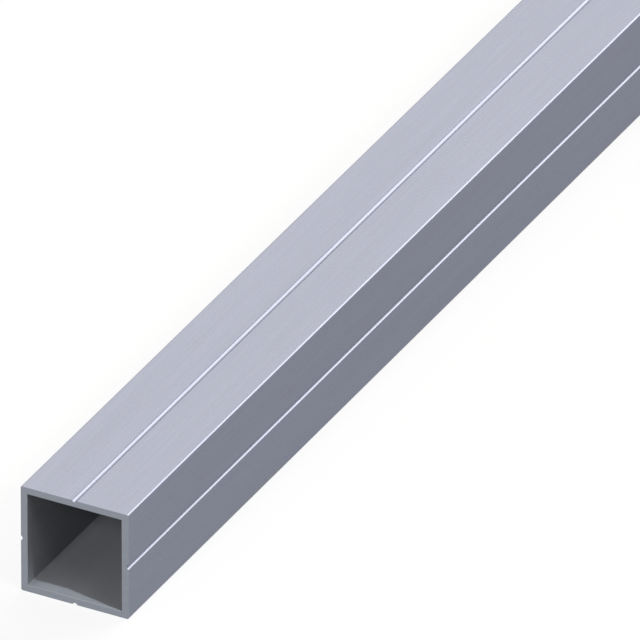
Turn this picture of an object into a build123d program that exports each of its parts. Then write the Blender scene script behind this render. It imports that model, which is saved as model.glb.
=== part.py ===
from build123d import *
import os

# Square tube of extruded aluminium, one straight piece with a marking groove along
# the middle of each outer face. It lies along X on one face. The origin is under the
# middle of the tube, on the plane that it rests on. All lengths are in millimetres.

INCH = 25.4

# Driving dimensions
tube_length = 12 * INCH
tube_width = 1 * INCH          # across the flats, the same both ways
wall_thickness = INCH / 16
outer_corner_radius = INCH / 64
bore_corner_radius = 0.15      # the corners of the bore are almost sharp
groove_width = 1.2             # across the mouth of a groove, at the outer face
groove_depth = 0.4             # from the outer face to the bottom of the groove

# The bore follows the outside at one wall's distance
bore_width = tube_width - 2 * wall_thickness

# A groove is an arc through its two lips and its lowest point
groove_radius = (groove_width**2 / 4 + groove_depth**2) / (2 * groove_depth)
groove_centre = tube_width / 2 - groove_depth + groove_radius

# The section stands across the tube at its -X end, centred at half the tube's height
section_plane = Plane(origin=(-tube_length / 2, 0, tube_width / 2), x_dir=(0, 1, 0), z_dir=(1, 0, 0))

with BuildPart() as square_tube:
    # Section: a square with rounded corners, a groove in each side and a square bore
    with BuildSketch(section_plane):
        RectangleRounded(tube_width, tube_width, outer_corner_radius)
        with PolarLocations(groove_centre, 4):
            Circle(groove_radius, mode=Mode.SUBTRACT)
        RectangleRounded(bore_width, bore_width, bore_corner_radius, mode=Mode.SUBTRACT)

    # The tube runs straight to its other end, and both ends are sawn square
    extrude(amount=tube_length)

square_tube.part.label = "square_tube"

os.makedirs("parts", exist_ok=True)
export_step(square_tube.part, "parts/square_tube.step")
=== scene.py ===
import logging
import math
from dataclasses import dataclass, field
from enum import Enum

import bpy
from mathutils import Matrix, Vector


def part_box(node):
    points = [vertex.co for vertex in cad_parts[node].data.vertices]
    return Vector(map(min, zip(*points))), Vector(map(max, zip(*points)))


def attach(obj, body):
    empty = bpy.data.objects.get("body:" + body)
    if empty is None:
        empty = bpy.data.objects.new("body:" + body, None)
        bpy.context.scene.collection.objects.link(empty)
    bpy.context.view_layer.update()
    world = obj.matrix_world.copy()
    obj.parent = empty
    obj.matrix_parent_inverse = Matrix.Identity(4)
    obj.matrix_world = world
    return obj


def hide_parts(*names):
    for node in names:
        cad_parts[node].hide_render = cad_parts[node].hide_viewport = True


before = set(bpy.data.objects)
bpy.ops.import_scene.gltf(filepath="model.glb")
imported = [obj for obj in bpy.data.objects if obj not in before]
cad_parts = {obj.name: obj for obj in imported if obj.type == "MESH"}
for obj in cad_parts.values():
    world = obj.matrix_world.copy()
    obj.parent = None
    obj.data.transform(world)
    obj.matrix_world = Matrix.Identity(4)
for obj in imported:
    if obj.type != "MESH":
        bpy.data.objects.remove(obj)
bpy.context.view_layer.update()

log = logging.getLogger("square_tube")

MM = 0.001                    # one millimetre, in metres
INCH = 25.4 * MM
CAD_NODE = "square_tube"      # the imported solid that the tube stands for
BODY = "root"                 # the one body of a part without joints

NOISE_LOW, NOISE_HIGH = 0.3, 0.7    # noise seldom leaves this range
OWN_SCALE = 1.0                     # for noise whose place is already measured in its pitch
QUARTER_TURN = math.pi / 2
WHITE = (1.0, 1.0, 1.0, 1.0)

Colour = tuple[float, float, float]
Feed = bpy.types.NodeSocket | bpy.types.Material | bool | int | float | tuple[float, ...]


class TreeKind(Enum):
    """The two kinds of node tree that the script builds."""

    GEOMETRY = "GeometryNodeTree"
    SHADER = "ShaderNodeTree"


class SocketKind(Enum):
    """What a group's input or output carries."""

    NUMBER = "NodeSocketFloat"
    COUNT = "NodeSocketInt"
    VECTOR = "NodeSocketVector"
    SHAPE = "NodeSocketGeometry"
    FINISH = "NodeSocketMaterial"


class Wiring:
    """Adds nodes to one tree and joins them."""

    def __init__(self, tree: bpy.types.NodeTree) -> None:
        """Keep the tree that the nodes go into."""
        self.tree = tree

    def feed(self, socket: bpy.types.NodeSocket, source: Feed) -> None:
        """Join a socket to the one that feeds it, or give it a value of its own.

        Args:
            socket: the input to fill.
            source: another node's output, or a plain value.
        """
        if isinstance(source, bpy.types.NodeSocket):
            self.tree.links.new(source, socket)
        else:
            socket.default_value = source

    def node(
        self, kind: str, feeds: dict[str, Feed] | None = None, **settings: str | int | bool
    ) -> bpy.types.Node:
        """Add one node.

        Args:
            kind: Blender's own name of the node.
            feeds: what goes into its inputs, by the name of the input.
            settings: the node's properties.

        Returns:
            The new node.
        """
        node = self.tree.nodes.new(kind)
        for name, value in settings.items():
            setattr(node, name, value)
        for name, source in (feeds or {}).items():
            socket = next(s for s in node.inputs if s.name == name and s.enabled)
            self.feed(socket, source)
        return node

    def math(self, operation: str, *terms: Feed) -> bpy.types.NodeSocket:
        """Work out one number.

        Args:
            operation: the sum to do, such as ADD or MULTIPLY.
            terms: the numbers or sockets that it works on, in order.

        Returns:
            The socket that holds the result.
        """
        node = self.node("ShaderNodeMath", operation=operation)
        for socket, term in zip(node.inputs, terms):
            self.feed(socket, term)
        return node.outputs[0]

    def test(self, operation: str, value: Feed, limit: Feed) -> bpy.types.NodeSocket:
        """Compare one number with another.

        Args:
            operation: how to compare them, such as LESS_THAN.
            value: the number to test.
            limit: the number to test it against.

        Returns:
            The socket that holds yes or no.
        """
        feeds = {"A": value, "B": limit}
        return self.node("FunctionNodeCompare", feeds, operation=operation).outputs["Result"]

    def vector(self, x: Feed = 0.0, y: Feed = 0.0, z: Feed = 0.0) -> bpy.types.NodeSocket:
        """Put three numbers together as one vector.

        Args:
            x: the number along X.
            y: the number along Y.
            z: the number along Z.

        Returns:
            The socket that holds the vector.
        """
        return self.node("ShaderNodeCombineXYZ", {"X": x, "Y": y, "Z": z}).outputs[0]

    def split(self, vector: Feed) -> bpy.types.NodeOutputs:
        """Take a vector apart.

        Args:
            vector: the vector to take apart.

        Returns:
            Its three numbers, by the names X, Y and Z.
        """
        return self.node("ShaderNodeSeparateXYZ", {"Vector": vector}).outputs

    def noise(
        self, place: Feed, scale: Feed, detail: float, roughness: float
    ) -> bpy.types.NodeSocket:
        """Lay cloudy noise over a place.

        Args:
            place: where on the pattern to look.
            scale: how many clouds there are to a metre.
            detail: how many finer layers lie on the first.
            roughness: how strong each finer layer is.

        Returns:
            The socket that holds the noise, mostly from NOISE_LOW to NOISE_HIGH.
        """
        feeds = {"Vector": place, "Scale": scale, "Detail": detail, "Roughness": roughness}
        return self.node("ShaderNodeTexNoise", feeds).outputs["Fac"]

    def span(
        self, value: Feed, low: float, high: float, start: Feed, end: Feed
    ) -> bpy.types.NodeSocket:
        """Turn one range of numbers into another, held at its two ends.

        Args:
            value: the number to turn.
            low: where the old range begins.
            high: where the old range ends.
            start: the result at low.
            end: the result at high.

        Returns:
            The socket that holds the result.
        """
        feeds = {"Value": value, "From Min": low, "From Max": high, "To Min": start, "To Max": end}
        return self.node("ShaderNodeMapRange", feeds).outputs["Result"]


class NodeGroup(Wiring):
    """A tree with named inputs and outputs, built once and placed where it is needed."""

    def __init__(
        self,
        name: str,
        kind: TreeKind,
        inputs: dict[str, tuple[SocketKind, Feed | None]],
        outputs: dict[str, SocketKind],
    ) -> None:
        """Make the empty tree with its sockets.

        Args:
            name: the group's name.
            kind: whether it makes geometry or part of a material.
            inputs: each input's name with what it carries and its default value.
            outputs: each output's name with what it carries.
        """
        super().__init__(bpy.data.node_groups.new(name, kind.value))
        self.kind = kind
        sockets = self.tree.interface
        for label, (carries, value) in inputs.items():
            socket = sockets.new_socket(label, in_out="INPUT", socket_type=carries.value)
            if value is not None:
                socket.default_value = value
        for label, carries in outputs.items():
            sockets.new_socket(label, in_out="OUTPUT", socket_type=carries.value)
        self.given = self.node("NodeGroupInput").outputs
        self.result = self.node("NodeGroupOutput").inputs

    def place(self, wiring: Wiring, feeds: dict[str, Feed]) -> bpy.types.NodeOutputs:
        """Use the group inside another tree.

        Args:
            wiring: the tree that it goes into.
            feeds: what goes into its inputs, by name.

        Returns:
            The outputs of the placed group.
        """
        family = "Geometry" if self.kind is TreeKind.GEOMETRY else "Shader"
        node = wiring.tree.nodes.new(f"{family}NodeGroup")
        node.node_tree = self.tree
        for name, source in feeds.items():
            wiring.feed(node.inputs[name], source)
        return node.outputs


# ---------------------------------------------------------------------------- shared effects


@dataclass(frozen=True)
class SurfaceEffects:
    """The effects that the finishes share, each one a shader group."""

    die_lines: NodeGroup
    grain: NodeGroup
    edge_wear_and_highlight: NodeGroup
    drag_marks: NodeGroup


def build_die_lines() -> NodeGroup:
    """Build the fine ridges that the die draws along the metal as it comes out.

    Returns:
        A group that turns a place on the tube into the height of the ridges there, and
        into slow streaks of slightly different sheen.
    """
    number = SocketKind.NUMBER
    group = NodeGroup(
        "die_lines",
        TreeKind.SHADER,
        {
            "Place": (SocketKind.VECTOR, None),
            "Pitch": (number, 0.5 * MM),
            "Run": (number, 60 * MM),
            "Streak Pitch": (number, 3 * MM),
        },
        {"Height": number, "Streak": number},
    )
    place = group.split(group.given["Place"])
    along = group.math("DIVIDE", place["X"], group.given["Run"])
    for result, pitch, detail in (("Height", "Pitch", 3.0), ("Streak", "Streak Pitch", 2.0)):
        across = [group.math("DIVIDE", place[axis], group.given[pitch]) for axis in ("Y", "Z")]
        lines = group.noise(group.vector(along, *across), OWN_SCALE, detail, roughness=0.6)
        group.feed(group.result[result], lines)
    return group


def build_grain() -> NodeGroup:
    """Build the fine tooth of bare metal, even in every direction.

    Returns:
        A group that turns a place on the tube into the height of the tooth there.
    """
    number = SocketKind.NUMBER
    group = NodeGroup(
        "metal_grain",
        TreeKind.SHADER,
        {"Place": (SocketKind.VECTOR, None), "Size": (number, 0.12 * MM)},
        {"Height": number},
    )
    scale = group.math("DIVIDE", 1.0, group.given["Size"])
    tooth = group.noise(group.given["Place"], scale, detail=2.0, roughness=0.55)
    group.feed(group.result["Height"], tooth)
    return group


def build_edge_mask() -> NodeGroup:
    """Build the mask of the long edges and the ends, the places that hands and racks rub and where
    a painted highlight lifts the colour.

    Returns:
        A group that turns a place on the tube into 1 on an edge and 0 away from it.
    """
    number = SocketKind.NUMBER
    group = NodeGroup(
        "edge_wear_and_highlight",
        TreeKind.SHADER,
        {
            "Place": (SocketKind.VECTOR, None),
            "Axis Height": (number, 12.7 * MM),
            "Half Width": (number, 12.7 * MM),
            "Half Length": (number, 152.4 * MM),
            "Reach": (number, 0.45 * MM),
            "Break Up": (number, 0.5),
            "Patch Size": (number, 4 * MM),
        },
        {"Mask": number},
    )
    given = group.given
    place = group.split(given["Place"])
    across = group.math("ABSOLUTE", place["Y"])
    up = group.math("ABSOLUTE", group.math("SUBTRACT", place["Z"], given["Axis Height"]))
    to_side = group.math("SUBTRACT", given["Half Width"], group.math("MINIMUM", across, up))
    to_end = group.math("SUBTRACT", given["Half Length"], group.math("ABSOLUTE", place["X"]))
    nearest = group.math("DIVIDE", group.math("MINIMUM", to_side, to_end), given["Reach"])
    edge = group.span(nearest, 0.0, 1.0, 1.0, 0.0)

    scale = group.math("DIVIDE", 1.0, given["Patch Size"])
    patches = group.noise(given["Place"], scale, detail=4.0, roughness=0.6)
    least = group.math("SUBTRACT", 1.0, given["Break Up"])
    patches = group.span(patches, NOISE_LOW, NOISE_HIGH, least, 1.0)
    group.feed(group.result["Mask"], group.math("MULTIPLY", edge, patches))
    return group


def build_drag_marks() -> NodeGroup:
    """Build the hair-thin marks that a run-out table drags along the metal.

    Returns:
        A group that turns a place on the tube into 1 in a mark and 0 beside it.
    """
    number = SocketKind.NUMBER
    group = NodeGroup(
        "drag_marks",
        TreeKind.SHADER,
        {
            "Place": (SocketKind.VECTOR, None),
            "Run": (number, 22 * MM),
            "Width": (number, 0.16 * MM),
            "Threshold": (number, 0.68),
            "Softness": (number, 0.08),
        },
        {"Mask": number},
    )
    given = group.given
    place = group.split(given["Place"])
    along = group.math("DIVIDE", place["X"], given["Run"])
    across = [group.math("DIVIDE", place[axis], given["Width"]) for axis in ("Y", "Z")]
    lanes = group.noise(group.vector(along, *across), OWN_SCALE, detail=1.0, roughness=0.4)
    over = group.math("SUBTRACT", lanes, given["Threshold"])
    share = group.math("DIVIDE", over, given["Softness"])
    group.feed(group.result["Mask"], group.span(share, 0.0, 1.0, 0.0, 1.0))
    return group


# ------------------------------------------------------------------------------------ finishes


@dataclass(frozen=True)
class Finish:
    """What every finish of the metal has: a name, a colour, a sheen and a fine tooth."""

    name: str
    colour: Colour
    roughness: float
    metallic: float
    grain_height: float
    grazing_tint: float = 0.7    # how much of the sheen is left at a grazing angle

    def start(self) -> tuple[bpy.types.Material, Wiring, bpy.types.NodeSocket, bpy.types.Node]:
        """Begin the material.

        Returns:
            The material, the wiring of its tree, the place on the tube that patterns
            follow, and the shader that they feed.
        """
        material = bpy.data.materials.new(self.name)
        material.use_nodes = True
        material.node_tree.nodes.clear()
        wiring = Wiring(material.node_tree)
        place = wiring.node("ShaderNodeTexCoord").outputs["Object"]
        grazing = (self.grazing_tint, self.grazing_tint, self.grazing_tint, 1.0)
        feeds = {"Metallic": self.metallic, "Specular Tint": grazing}
        metal = wiring.node("ShaderNodeBsdfPrincipled", feeds)
        wiring.node("ShaderNodeOutputMaterial", {"Surface": metal.outputs["BSDF"]})
        return material, wiring, place, metal

    def tint(self, wiring: Wiring, brightness: Feed) -> bpy.types.NodeSocket:
        """Lighten or darken the metal's colour.

        Args:
            wiring: the tree of the material.
            brightness: what to multiply the colour by.

        Returns:
            The socket that holds the colour.
        """
        node = wiring.node("ShaderNodeVectorMath", operation="SCALE")
        wiring.feed(node.inputs[0], self.colour)
        wiring.feed(node.inputs["Scale"], brightness)
        return node.outputs[0]

    def swing(
        self, wiring: Wiring, noise: Feed, middle: float, reach: float
    ) -> bpy.types.NodeSocket:
        """Let a value swing about its middle as the noise does.

        Args:
            wiring: the tree of the material.
            noise: the noise to follow.
            middle: the value in the middle of the noise's range.
            reach: how far it goes to each side.

        Returns:
            The socket that holds the value.
        """
        return wiring.span(noise, NOISE_LOW, NOISE_HIGH, middle - reach, middle + reach)

    def relief(
        self, wiring: Wiring, coarse: Feed, height: float, tooth: Feed
    ) -> bpy.types.NodeSocket:
        """Raise a coarse pattern on the surface, and the tooth of the metal on that.

        Args:
            wiring: the tree of the material.
            coarse: the coarse pattern.
            height: how far the coarse pattern stands up, in metres.
            tooth: the pattern of the tooth.

        Returns:
            The socket that holds the direction that the surface faces.
        """
        feeds = {"Distance": height, "Height": coarse}
        raised = wiring.node("ShaderNodeBump", feeds).outputs["Normal"]
        feeds = {"Distance": self.grain_height, "Height": tooth, "Normal": raised}
        return wiring.node("ShaderNodeBump", feeds).outputs["Normal"]


@dataclass(frozen=True)
class ExtrudedFinish(Finish):
    """The face that a die leaves, with its lines running along the metal."""

    line_height: float = 0.003 * MM
    streak: float = 0.02          # how far slow streaks lighten and darken the metal
    edge_lift_wear_and_highlight: float = 0.18      # how much lighter the edges are: partly wear, partly a painted highlight
    drag_shine: float = 0.05      # how much lighter and smoother a drag mark is
    sheen_swing: float = 0.02     # how far the lines roughen and smooth the metal

    def build(
        self, effects: SurfaceEffects, half_width: float, half_length: float, axis_height: float
    ) -> bpy.types.Material:
        """Build the material.

        Args:
            effects: the shared groups of the surface effects.
            half_width: from the tube's axis to the face.
            half_length: from the middle of the tube to its end.
            axis_height: the tube's axis above the floor.

        Returns:
            The finished material.
        """
        material, wiring, place, metal = self.start()
        lines = effects.die_lines.place(wiring, {"Place": place})
        tooth = effects.grain.place(wiring, {"Place": place})["Height"]
        dragged = effects.drag_marks.place(wiring, {"Place": place})["Mask"]
        sizes = {"Half Width": half_width, "Half Length": half_length, "Axis Height": axis_height}
        edge_lift_mask = effects.edge_wear_and_highlight.place(wiring, {"Place": place, **sizes})["Mask"]

        bright = self.swing(wiring, lines["Streak"], 1.0, self.streak)
        # painted highlight, partly wear: the long edges and the ends are lightened
        bright = wiring.math("MULTIPLY_ADD", edge_lift_mask, self.edge_lift_wear_and_highlight, bright)
        bright = wiring.math("MULTIPLY_ADD", dragged, self.drag_shine, bright)
        wiring.feed(metal.inputs["Base Color"], self.tint(wiring, bright))

        rough = self.swing(wiring, lines["Height"], self.roughness, self.sheen_swing)
        rough = wiring.math("MULTIPLY_ADD", dragged, -self.drag_shine, rough)
        wiring.feed(metal.inputs["Roughness"], rough)

        relief = self.relief(wiring, lines["Height"], self.line_height, tooth)
        wiring.feed(metal.inputs["Normal"], relief)
        return material


@dataclass(frozen=True)
class SawnFinish(Finish):
    """The end that a circular saw leaves, with the marks of its teeth across it."""

    mark_height: float = 0.010 * MM
    mark_pitch: float = 0.45 * MM
    blade_side: float = 44 * MM     # how far the blade's axle is to the side of the tube
    blade_drop: float = 116 * MM    # and how far below the floor
    marks_to_radian: float = 6.0    # how often a mark breaks off along its arc
    shade_swing: float = 0.04       # how far the marks lighten, darken and roughen the metal

    def build(self, effects: SurfaceEffects) -> bpy.types.Material:
        """Build the material.

        Args:
            effects: the shared groups of the surface effects.

        Returns:
            The finished material.
        """
        material, wiring, place, metal = self.start()
        axes = wiring.split(place)
        sideways = wiring.math("ADD", axes["Y"], self.blade_side)
        up = wiring.math("ADD", axes["Z"], self.blade_drop)
        squares = [wiring.math("MULTIPLY", leg, leg) for leg in (sideways, up)]
        radius = wiring.math("SQRT", wiring.math("ADD", *squares))
        turn = wiring.math("ARCTAN2", sideways, up)
        across = wiring.math("DIVIDE", radius, self.mark_pitch)
        along = wiring.math("MULTIPLY", turn, self.marks_to_radian)
        on_arc = wiring.vector(across, along, axes["X"])
        marks = wiring.noise(on_arc, OWN_SCALE, detail=3.0, roughness=0.5)
        tooth = effects.grain.place(wiring, {"Place": place})["Height"]

        bright = self.swing(wiring, marks, 1.0, self.shade_swing)
        wiring.feed(metal.inputs["Base Color"], self.tint(wiring, bright))
        rough = self.swing(wiring, marks, self.roughness, self.shade_swing)
        wiring.feed(metal.inputs["Roughness"], rough)
        relief = self.relief(wiring, marks, self.mark_height, tooth)
        wiring.feed(metal.inputs["Normal"], relief)
        return material


# ------------------------------------------------------------------------------------ the tube


@dataclass
class SquareTube:
    """One straight length of square tube with a marking groove along each face."""

    length: float
    width: float
    wall: float = INCH / 16
    outer_radius: float = INCH / 64
    bore_radius: float = 0.15 * MM
    groove_width: float = 1.2 * MM
    groove_depth: float = 0.4 * MM
    end_break: float = 0.08 * MM
    corner_steps: int = 12
    groove_steps: int = 24
    flat_steps: int = 6
    break_steps: int = 3
    length_steps: int = 24
    weld: float = 0.002 * MM      # points nearer than this become one
    crisp_angle: float = 35.0     # degrees across an edge from which it stays sharp
    end_facing: float = 0.8       # how squarely a face looks along the tube to be on an end

    def arc(
        self, group: NodeGroup, points: tuple[Feed, Feed, Feed], steps: Feed
    ) -> bpy.types.NodeSocket:
        """Draw an arc through three points.

        Args:
            group: the tree that the nodes go into.
            points: where the arc starts, a point on it, and where it ends.
            steps: how many straight pieces it has.

        Returns:
            The socket that holds the line.
        """
        feeds = dict(zip(("Start", "Middle", "End"), points))
        feeds["Resolution"] = group.math("ADD", steps, 1.0)
        return group.node("GeometryNodeCurveArc", feeds, mode="POINTS").outputs["Curve"]

    def flat(self, group: NodeGroup, start: Feed, end: Feed, steps: Feed) -> bpy.types.NodeSocket:
        """Draw a straight line.

        Args:
            group: the tree that the nodes go into.
            start: where the line starts.
            end: where it ends.
            steps: how many equal pieces it has.

        Returns:
            The socket that holds the line.
        """
        line = group.node("GeometryNodeCurvePrimitiveLine", {"Start": start, "End": end})
        feeds = {"Curve": line.outputs["Curve"], "Count": group.math("ADD", steps, 1.0)}
        return group.node("GeometryNodeResampleCurve", feeds).outputs["Curve"]

    def outer_outline(self) -> NodeGroup:
        """Build the group that draws the outside of the section.

        Returns:
            A group that puts out one closed line: four sides, each with its groove, and
            four round corners.
        """
        number, count = SocketKind.NUMBER, SocketKind.COUNT
        group = NodeGroup(
            "outer_outline",
            TreeKind.GEOMETRY,
            {
                "Width": (number, self.width),
                "Corner Radius": (number, self.outer_radius),
                "Groove Width": (number, self.groove_width),
                "Groove Depth": (number, self.groove_depth),
                "Corner Steps": (count, self.corner_steps),
                "Groove Steps": (count, self.groove_steps),
                "Flat Steps": (count, self.flat_steps),
            },
            {"Outline": SocketKind.SHAPE},
        )
        given = group.given
        side = group.math("MULTIPLY", given["Width"], 0.5)
        lip = group.math("MULTIPLY", given["Groove Width"], 0.5)
        floor = group.math("SUBTRACT", side, given["Groove Depth"])
        turn = group.math("SUBTRACT", side, given["Corner Radius"])
        bulge = group.math("MULTIPLY_ADD", given["Corner Radius"], math.sqrt(0.5), turn)
        left_lip = group.math("MULTIPLY", lip, -1.0)
        groove = [group.vector(left_lip, side), group.vector(0.0, floor), group.vector(lip, side)]
        corner = [group.vector(turn, side), group.vector(bulge, bulge), group.vector(side, turn)]
        next_lip = group.vector(side, lip)

        quarter = group.node("GeometryNodeJoinGeometry")
        for line in (
            self.arc(group, groove, given["Groove Steps"]),
            self.flat(group, groove[-1], corner[0], given["Flat Steps"]),
            self.arc(group, corner, given["Corner Steps"]),
            self.flat(group, corner[-1], next_lip, given["Flat Steps"]),
        ):
            group.feed(quarter.inputs["Geometry"], line)

        four = group.node("GeometryNodePoints", {"Count": 4}).outputs["Points"]
        index = group.node("GeometryNodeInputIndex").outputs["Index"]
        turned = group.vector(z=group.math("MULTIPLY", index, QUARTER_TURN))
        feeds = {"Points": four, "Instance": quarter.outputs["Geometry"], "Rotation": turned}
        around = group.node("GeometryNodeInstanceOnPoints", feeds).outputs["Instances"]
        around = group.node("GeometryNodeRealizeInstances", {"Geometry": around})
        feeds = {"Curve": around.outputs["Geometry"]}
        chain = group.node("GeometryNodeCurveToMesh", feeds).outputs["Mesh"]
        feeds = {"Geometry": chain, "Distance": self.weld}
        chain = group.node("GeometryNodeMergeByDistance", feeds).outputs["Geometry"]
        closed = group.node("GeometryNodeMeshToCurve", {"Mesh": chain})
        group.feed(group.result["Outline"], closed.outputs["Curve"])
        return group

    def bore_outline(self) -> NodeGroup:
        """Build the group that draws the bore: a square with small round corners.

        Returns:
            A group that puts out one closed line.
        """
        number, count = SocketKind.NUMBER, SocketKind.COUNT
        group = NodeGroup(
            "bore_outline",
            TreeKind.GEOMETRY,
            {
                "Width": (number, self.width - 2 * self.wall),
                "Corner Radius": (number, self.bore_radius),
                "Corner Steps": (count, self.corner_steps // 2),
            },
            {"Outline": SocketKind.SHAPE},
        )
        feeds = {"Width": group.given["Width"], "Height": group.given["Width"]}
        square = group.node("GeometryNodeCurvePrimitiveQuadrilateral", feeds).outputs["Curve"]
        steps, radius = group.given["Corner Steps"], group.given["Corner Radius"]
        feeds = {"Curve": square, "Count": steps, "Radius": radius}
        rounded = group.node("GeometryNodeFilletCurve", feeds, mode="POLY").outputs["Curve"]
        group.feed(group.result["Outline"], rounded)
        return group

    def stations(self) -> NodeGroup:
        """Build the group that draws the path of the sweep, with close steps at its ends.

        Returns:
            A group that puts out the path and, for each of its points, how far the
            section draws in there to break the edge of the end.
        """
        number, count = SocketKind.NUMBER, SocketKind.COUNT
        group = NodeGroup(
            "stations",
            TreeKind.GEOMETRY,
            {
                "Length": (number, self.length),
                "End Break": (number, self.end_break),
                "Break Steps": (count, self.break_steps),
                "Length Steps": (count, self.length_steps),
            },
            {"Path": SocketKind.SHAPE, "Inset": number},
        )
        given = group.given
        feeds = {"End": (1.0, 0.0, 0.0)}
        line = group.node("GeometryNodeCurvePrimitiveLine", feeds).outputs["Curve"]
        last = group.math("MULTIPLY_ADD", given["Break Steps"], 2.0, given["Length Steps"])
        feeds = {"Curve": line, "Count": group.math("ADD", last, 1.0)}
        line = group.node("GeometryNodeResampleCurve", feeds).outputs["Curve"]

        index = group.node("GeometryNodeInputIndex").outputs["Index"]
        from_end = group.math("MINIMUM", index, group.math("SUBTRACT", last, index))
        share = group.math("MINIMUM", group.math("DIVIDE", from_end, given["Break Steps"]), 1.0)
        angle = group.math("MULTIPLY", share, QUARTER_TURN)
        drawn_in = group.math("SUBTRACT", 1.0, group.math("SINE", angle))
        drawn_back = group.math("SUBTRACT", 1.0, group.math("COSINE", angle))
        half = group.math("MULTIPLY", given["Length"], 0.5)
        reach = group.math("SUBTRACT", half, group.math("MULTIPLY", given["End Break"], drawn_back))
        step = group.math("SUBTRACT", index, given["Break Steps"])
        side = group.span(group.math("DIVIDE", step, given["Length Steps"]), 0.0, 1.0, -1.0, 1.0)
        position = group.vector(group.math("MULTIPLY", reach, side))
        placed = group.node("GeometryNodeSetPosition", {"Geometry": line, "Position": position})
        group.feed(group.result["Path"], placed.outputs["Geometry"])
        group.feed(group.result["Inset"], group.math("MULTIPLY", given["End Break"], drawn_in))
        return group

    def sweep_tree(self) -> NodeGroup:
        """Build the tree that sweeps the section along the tube and closes its ends.

        Returns:
            The whole tree, whose inputs are the sizes of the tube and its finishes.
        """
        number, count = SocketKind.NUMBER, SocketKind.COUNT
        group = NodeGroup(
            "swept_tube",
            TreeKind.GEOMETRY,
            {
                "Length": (number, self.length),
                "Width": (number, self.width),
                "Wall": (number, self.wall),
                "Outer Radius": (number, self.outer_radius),
                "Bore Radius": (number, self.bore_radius),
                "Groove Width": (number, self.groove_width),
                "Groove Depth": (number, self.groove_depth),
                "End Break": (number, self.end_break),
                "Corner Steps": (count, self.corner_steps),
                "Groove Steps": (count, self.groove_steps),
                "Flat Steps": (count, self.flat_steps),
                "Break Steps": (count, self.break_steps),
                "Length Steps": (count, self.length_steps),
                "Outer Finish": (SocketKind.FINISH, None),
                "Bore Finish": (SocketKind.FINISH, None),
                "End Finish": (SocketKind.FINISH, None),
            },
            {"Tube": SocketKind.SHAPE},
        )
        given = group.given
        half = group.math("MULTIPLY", given["Width"], 0.5)
        bore_half = group.math("SUBTRACT", half, given["Wall"])

        sizes = ("Width", "Groove Width", "Groove Depth")
        steps = ("Corner Steps", "Groove Steps", "Flat Steps")
        feeds = {name: given[name] for name in sizes + steps}
        feeds["Corner Radius"] = given["Outer Radius"]
        outer = self.outer_outline().place(group, feeds)["Outline"]
        bore_width = group.math("MULTIPLY", bore_half, 2.0)
        feeds = {"Width": bore_width, "Corner Radius": given["Bore Radius"]}
        bore = self.bore_outline().place(group, feeds)["Outline"]
        along = ("Length", "End Break", "Break Steps", "Length Steps")
        feeds = {name: given[name] for name in along}
        stations = self.stations().place(group, feeds)

        outer_inset = group.math("SUBTRACT", 1.0, group.math("DIVIDE", stations["Inset"], half))
        bore_inset = group.math("ADD", 1.0, group.math("DIVIDE", stations["Inset"], bore_half))
        feeds = {"Curve": stations["Path"], "Profile Curve": outer, "Scale": outer_inset}
        outside = group.node("GeometryNodeCurveToMesh", feeds).outputs["Mesh"]
        outside = group.node("GeometryNodeFlipFaces", {"Mesh": outside}).outputs["Mesh"]
        feeds = {"Curve": stations["Path"], "Profile Curve": bore, "Scale": bore_inset}
        inside = group.node("GeometryNodeCurveToMesh", feeds).outputs["Mesh"]
        inside = group.node("GeometryNodeFlipFaces", {"Mesh": inside}).outputs["Mesh"]

        rims = group.node("GeometryNodeJoinGeometry")
        outer_rim = group.math("SUBTRACT", 1.0, group.math("DIVIDE", given["End Break"], half))
        bore_rim = group.math("ADD", 1.0, group.math("DIVIDE", given["End Break"], bore_half))
        for outline, size in ((outer, outer_rim), (bore, bore_rim)):
            feeds = {"Geometry": outline, "Scale": group.vector(size, size, size)}
            scaled = group.node("GeometryNodeTransform", feeds).outputs["Geometry"]
            group.feed(rims.inputs["Geometry"], scaled)
        feeds = {"Curve": rims.outputs["Geometry"]}
        end = group.node("GeometryNodeFillCurve", feeds).outputs["Mesh"]

        whole = group.node("GeometryNodeJoinGeometry")
        group.feed(whole.inputs["Geometry"], outside)
        group.feed(whole.inputs["Geometry"], inside)
        for side in (-1, 1):
            shift = group.vector(group.math("MULTIPLY", given["Length"], 0.5 * side))
            upright = (0.0, side * QUARTER_TURN, 0.0)
            feeds = {"Geometry": end, "Translation": shift, "Rotation": upright}
            closed = group.node("GeometryNodeTransform", feeds).outputs["Geometry"]
            group.feed(whole.inputs["Geometry"], closed)

        feeds = {"Geometry": whole.outputs["Geometry"], "Distance": self.weld}
        tube = group.node("GeometryNodeMergeByDistance", feeds).outputs["Geometry"]
        feeds = {"Geometry": tube, "Translation": group.vector(z=half)}
        tube = self.shade(group, group.node("GeometryNodeTransform", feeds).outputs["Geometry"])
        tube = group.node("GeometryNodeRealizeInstances", {"Geometry": tube}).outputs["Geometry"]
        group.feed(group.result["Tube"], self.cover(group, tube))
        return group

    def shade(self, group: NodeGroup, tube: bpy.types.NodeSocket) -> bpy.types.NodeSocket:
        """Shade the arcs smooth, and leave the lips of the grooves crisp.

        Args:
            group: the tree that the nodes go into.
            tube: the geometry to shade.

        Returns:
            The shaded geometry.
        """
        smooth = group.node("GeometryNodeSetShadeSmooth", {"Geometry": tube}).outputs["Geometry"]
        angle = group.node("GeometryNodeInputMeshEdgeAngle").outputs["Unsigned Angle"]
        crisp = group.test("GREATER_THAN", angle, math.radians(self.crisp_angle))
        feeds = {"Geometry": smooth, "Selection": crisp, "Shade Smooth": False}
        return group.node("GeometryNodeSetShadeSmooth", feeds, domain="EDGE").outputs["Geometry"]

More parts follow.
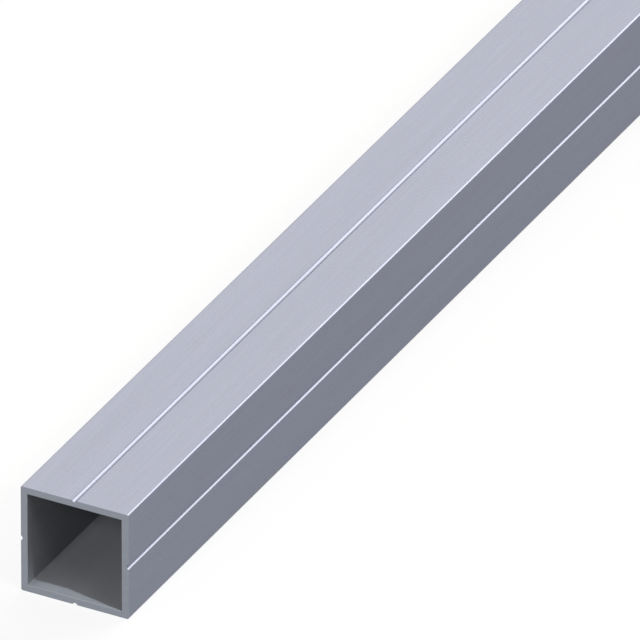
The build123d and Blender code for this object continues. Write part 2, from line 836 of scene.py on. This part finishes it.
    def cover(self, group: NodeGroup, tube: bpy.types.NodeSocket) -> bpy.types.NodeSocket:
        """Give the outside, the bore and the sawn ends their finishes.

        Args:
            group: the tree that the nodes go into.
            tube: the geometry to cover.

        Returns:
            The covered geometry.
        """
        given = group.given
        place = group.split(group.node("GeometryNodeInputPosition").outputs["Position"])
        half = group.math("MULTIPLY", given["Width"], 0.5)
        across = group.math("ABSOLUTE", place["Y"])
        up = group.math("ABSOLUTE", group.math("SUBTRACT", place["Z"], half))
        mid_wall = group.math("MULTIPLY_ADD", given["Wall"], -0.5, half)
        in_bore = group.test("LESS_THAN", group.math("MAXIMUM", across, up), mid_wall)
        normal = group.split(group.node("GeometryNodeInputNormal").outputs["Normal"])
        along = group.math("ABSOLUTE", normal["X"])
        on_end = group.test("GREATER_THAN", along, self.end_facing)
        chosen_by = {"Outer Finish": True, "Bore Finish": in_bore, "End Finish": on_end}
        covered = tube
        for name, chosen in chosen_by.items():
            feeds = {"Geometry": covered, "Selection": chosen, "Material": given[name]}
            covered = group.node("GeometryNodeSetMaterial", feeds).outputs["Geometry"]
        return covered

    def build(self, finishes: dict[str, bpy.types.Material]) -> bpy.types.Object:
        """Sweep the tube, cover it and make it a plain mesh.

        Args:
            finishes: the material of each of the tree's finish inputs, by its name.

        Returns:
            The tube, in place at the origin.
        """
        sweep = bpy.data.objects.new("sweep", bpy.data.meshes.new("sweep"))
        bpy.context.scene.collection.objects.link(sweep)
        nodes = sweep.modifiers.new("swept_tube", "NODES")
        nodes.node_group = self.sweep_tree().tree
        for item in nodes.node_group.interface.items_tree:
            if item.in_out == "INPUT" and item.name in finishes:
                nodes[item.identifier] = finishes[item.name]
        weighted = sweep.modifiers.new("weighted_normals", "WEIGHTED_NORMAL")
        weighted.keep_sharp = True
        evaluated = sweep.evaluated_get(bpy.context.evaluated_depsgraph_get())
        mesh = bpy.data.meshes.new_from_object(evaluated)
        bpy.data.objects.remove(sweep)
        # the sweep starts with an empty slot ahead of the finishes
        while mesh.materials[0] is None:
            mesh.materials.pop(index=0)
        mesh.name = "square_stock"
        tube = bpy.data.objects.new("square_stock", mesh)
        bpy.context.scene.collection.objects.link(tube)
        return tube


# ----------------------------------------------------------------------------------- the studio


def direction(azimuth: float, elevation: float) -> Vector:
    """Point outwards at a compass angle and a height.

    Args:
        azimuth: degrees from +X towards +Y.
        elevation: degrees above the floor.

    Returns:
        A vector of length 1.
    """
    turn, lift = math.radians(azimuth), math.radians(elevation)
    level = math.cos(lift)
    return Vector((math.cos(turn) * level, math.sin(turn) * level, math.sin(lift)))


def mount(
    name: str, data: bpy.types.ID, aim: Vector, out: Vector, distance: float
) -> bpy.types.Object:
    """Put a lamp or a camera on a stand, turned to what it looks at.

    Args:
        name: the name of the stand.
        data: the lamp or the camera.
        aim: the point that it looks at.
        out: the direction from there to the stand.
        distance: how far away the stand is.

    Returns:
        The stand.
    """
    stand = bpy.data.objects.new(name, data)
    stand.location = aim + out * distance
    stand.rotation_euler = out.to_track_quat("Z", "Y").to_euler()
    bpy.context.scene.collection.objects.link(stand)
    return stand


@dataclass(frozen=True)
class Softbox:
    """One large soft lamp, placed by its direction from the object."""

    name: str
    azimuth: float      # degrees from +X towards +Y
    elevation: float    # degrees above the floor
    width: float
    height: float
    radiance: float     # how bright its face is, where 1 is white
    colour: Colour = (1.0, 1.0, 1.0)
    distance: float = 5.0
    in_reflections: bool = True    # whether bare metal mirrors it

    def build(self) -> None:
        """Hang the lamp and turn it to the object."""
        lamp = bpy.data.lights.new(self.name, "AREA")
        lamp.shape = "RECTANGLE"
        lamp.size = self.width
        lamp.size_y = self.height
        lamp.color = self.colour
        lamp.energy = self.radiance * self.width * self.height * math.pi
        out = direction(self.azimuth, self.elevation)
        stand = mount(self.name, lamp, Vector((0, 0, 0)), out, self.distance)
        stand.visible_camera = False
        stand.visible_glossy = self.in_reflections


@dataclass(frozen=True)
class Snoot:
    """A small lamp in a tube, which throws a pool of light into the near mouth of the bore."""

    name: str = "snoot"
    azimuth: float = -100.0      # degrees from +X towards +Y
    elevation: float = 58.9      # degrees above the floor
    distance: float = 0.310
    beside: float = 1.8 * MM     # the middle of its pool, in from the tube's side
    before: float = 2.1 * MM     # and out from the tube's end
    pool_radius: float = 20.8 * MM
    pool_edge: float = 0.15      # the share of the pool that fades out
    lens_radius: float = 4.0 * MM
    strength: float = 3.7        # watts on each square metre that faces it
    colour: Colour = (0.88, 0.94, 1.0)

    def build(self, tube: bpy.types.Object, corner: Vector) -> None:
        """Hang the lamp and turn it to the mouth of the bore.

        Args:
            tube: the only thing that the lamp lights.
            corner: the corner of the tube, on the floor, that the lamp is nearest to.
        """
        lamp = bpy.data.lights.new(self.name, "SPOT")
        lamp.energy = self.strength * 4 * math.pi * self.distance**2
        lamp.color = self.colour
        lamp.shadow_soft_size = self.lens_radius
        lamp.spot_size = 2 * math.atan(self.pool_radius / self.distance)
        lamp.spot_blend = self.pool_edge
        aim = corner + Vector((-self.before, self.beside, 0))
        out = direction(self.azimuth, self.elevation)
        stand = mount(self.name, lamp, aim, out, self.distance)
        stand.visible_camera = False
        stand.visible_glossy = False
        lit = bpy.data.collections.new("lit_by_snoot")
        lit.objects.link(tube)
        stand.light_linking.receiver_collection = lit


@dataclass
class Studio:
    """A white floor, a white surround, soft lamps on every side and a snoot for the bore."""

    floor_size: float = 40.0
    floor_drop: float = 0.01 * MM    # how far the floor lies below the object
    floor_colour: float = 0.25       # how light its paper is
    floor_glow: float = 0.76         # how much white the eye and reflections see on top of it
    surround_light: float = 0.15     # how bright the surround is as light, where 1 is white
    snoot: Snoot = Snoot()
    softboxes: tuple[Softbox, ...] = field(
        default_factory=lambda: (
            # name, azimuth, elevation, width, height, radiance
            Softbox("key", -15.0, 25.0, 4.66, 4.2, 3.4, (1.0, 0.975, 0.91)),
            Softbox("fill", 28.0, 31.0, 2.6, 2.2, 1.47, (1.0, 0.951, 0.850)),
            Softbox("rear", 138.0, 28.0, 4.0, 3.4, 1.0),
            Softbox("front", 183.5, 30.5, 1.25, 1.4, 30.0, in_reflections=False),
            Softbox("side", -110.0, 45.0, 2.1, 1.05, 8.5, in_reflections=False),
        )
    )

    def seen(self, wiring: Wiring) -> bpy.types.NodeSocket:
        """Tell the rays that look at the background from those that light the object.

        Args:
            wiring: the tree that asks.

        Returns:
            A socket that holds 1 for a ray from the eye, a reflection or glass, else 0.
        """
        path = wiring.node("ShaderNodeLightPath").outputs
        looking = wiring.math("MAXIMUM", path["Is Camera Ray"], path["Is Glossy Ray"])
        return wiring.math("MAXIMUM", looking, path["Is Transmission Ray"])

    def build_surround(self) -> None:
        """Make the world white to the eye and to reflections, and dim as light."""
        world = bpy.data.worlds.new("surround")
        world.use_nodes = True
        world.node_tree.nodes.clear()
        wiring = Wiring(world.node_tree)
        strength = wiring.span(self.seen(wiring), 0.0, 1.0, self.surround_light, 1.0)
        feeds = {"Color": WHITE, "Strength": strength}
        white = wiring.node("ShaderNodeBackground", feeds)
        wiring.node("ShaderNodeOutputWorld", {"Surface": white.outputs["Background"]})
        bpy.context.scene.world = world

    def build_floor(self) -> None:
        """Lay the floor, which looks white and keeps the object's shadow."""
        half, level = self.floor_size / 2, -self.floor_drop
        around = ((-half, -half), (half, -half), (half, half), (-half, half))
        corners = [(x, y, level) for x, y in around]
        mesh = bpy.data.meshes.new("floor")
        mesh.from_pydata(corners, [], [(0, 1, 2, 3)])
        material = bpy.data.materials.new("white_floor")
        material.use_nodes = True
        material.node_tree.nodes.clear()
        wiring = Wiring(material.node_tree)
        grey = (self.floor_colour, self.floor_colour, self.floor_colour, 1.0)
        paper = wiring.node("ShaderNodeBsdfDiffuse", {"Color": grey})
        strength = wiring.math("MULTIPLY", self.seen(wiring), self.floor_glow)
        glow = wiring.node("ShaderNodeEmission", {"Color": WHITE, "Strength": strength})
        both = wiring.node("ShaderNodeAddShader")
        wiring.feed(both.inputs[0], paper.outputs["BSDF"])
        wiring.feed(both.inputs[1], glow.outputs["Emission"])
        wiring.node("ShaderNodeOutputMaterial", {"Surface": both.outputs["Shader"]})
        mesh.materials.append(material)
        floor = bpy.data.objects.new("floor", mesh)
        bpy.context.scene.collection.objects.link(floor)

    def build(self, tube: bpy.types.Object, corner: Vector) -> None:
        """Set up the floor, the surround and the lamps.

        Args:
            tube: the tube, which the snoot lights.
            corner: its corner on the floor that the snoot stands by.
        """
        self.build_surround()
        self.build_floor()
        for softbox in self.softboxes:
            softbox.build()
        self.snoot.build(tube, corner)
        bpy.context.scene.view_settings.view_transform = "Standard"
        log.info("studio: a floor, %d softboxes and a snoot", len(self.softboxes))


@dataclass(frozen=True)
class Viewpoint:
    """A long lens that looks along the tube from above its near end."""

    azimuth: float = -152.226    # degrees from +X towards +Y
    elevation: float = 30.999    # degrees above the floor
    distance: float = 6.0014
    aim: tuple[float, float, float] = (-45.354 * MM, -1.368 * MM, 12.7 * MM)
    lens: float = 1600.0
    sensor: float = 36.0
    clip_reach: float = 10.0     # how many times nearer and further than the object it sees

    def build(self) -> None:
        """Place the camera and make it the scene's own."""
        camera = bpy.data.cameras.new("viewpoint")
        camera.lens = self.lens
        camera.sensor_width = self.sensor
        camera.clip_start = self.distance / self.clip_reach
        camera.clip_end = self.distance * self.clip_reach
        out = direction(self.azimuth, self.elevation)
        bpy.context.scene.camera = mount("viewpoint", camera, Vector(self.aim), out, self.distance)


def main() -> None:
    """Build the tube and the studio round it, and report each piece."""
    logging.basicConfig(level=logging.INFO, format="%(message)s")
    low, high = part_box(CAD_NODE)
    tube = SquareTube(high.x - low.x, high.z - low.z)

    effects = SurfaceEffects(
        build_die_lines(), build_grain(), build_edge_mask(), build_drag_marks()
    )
    face = ExtrudedFinish(
        "extruded_face",
        colour=(0.218, 0.230, 0.290),
        roughness=0.28,
        metallic=1.0,
        grain_height=0.0015 * MM,
    )
    bore = ExtrudedFinish(
        "bore_face",
        colour=(0.237, 0.246, 0.266),
        roughness=0.6,
        metallic=0.3,
        grain_height=0.002 * MM,
        line_height=0.010 * MM,
        streak=0.03,
        edge_lift_wear_and_highlight=0.1,
    )
    end = SawnFinish(
        "sawn_end",
        # painted light in part: lighter than the extruded face so that the sawn end shows a lighter
        # lit tone; the rest is the fresh-cut metal's own
        colour=(0.262, 0.283, 0.324),
        roughness=0.45,
        metallic=1.0,
        grain_height=0.002 * MM,
    )
    half_length, half_width = tube.length / 2, tube.width / 2
    finishes = {
        "Outer Finish": face.build(effects, half_width, half_length, half_width),
        "Bore Finish": bore.build(effects, half_width - tube.wall, half_length, half_width),
        "End Finish": end.build(effects),
    }
    stock = tube.build(finishes)
    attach(stock, BODY)
    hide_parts(CAD_NODE)
    names = ", ".join(material.name for material in stock.data.materials)
    log.info("%s: %d faces, finished with %s", stock.name, len(stock.data.polygons), names)

    Studio().build(stock, low)
    Viewpoint().build()


if __name__ == "__main__":
    main()
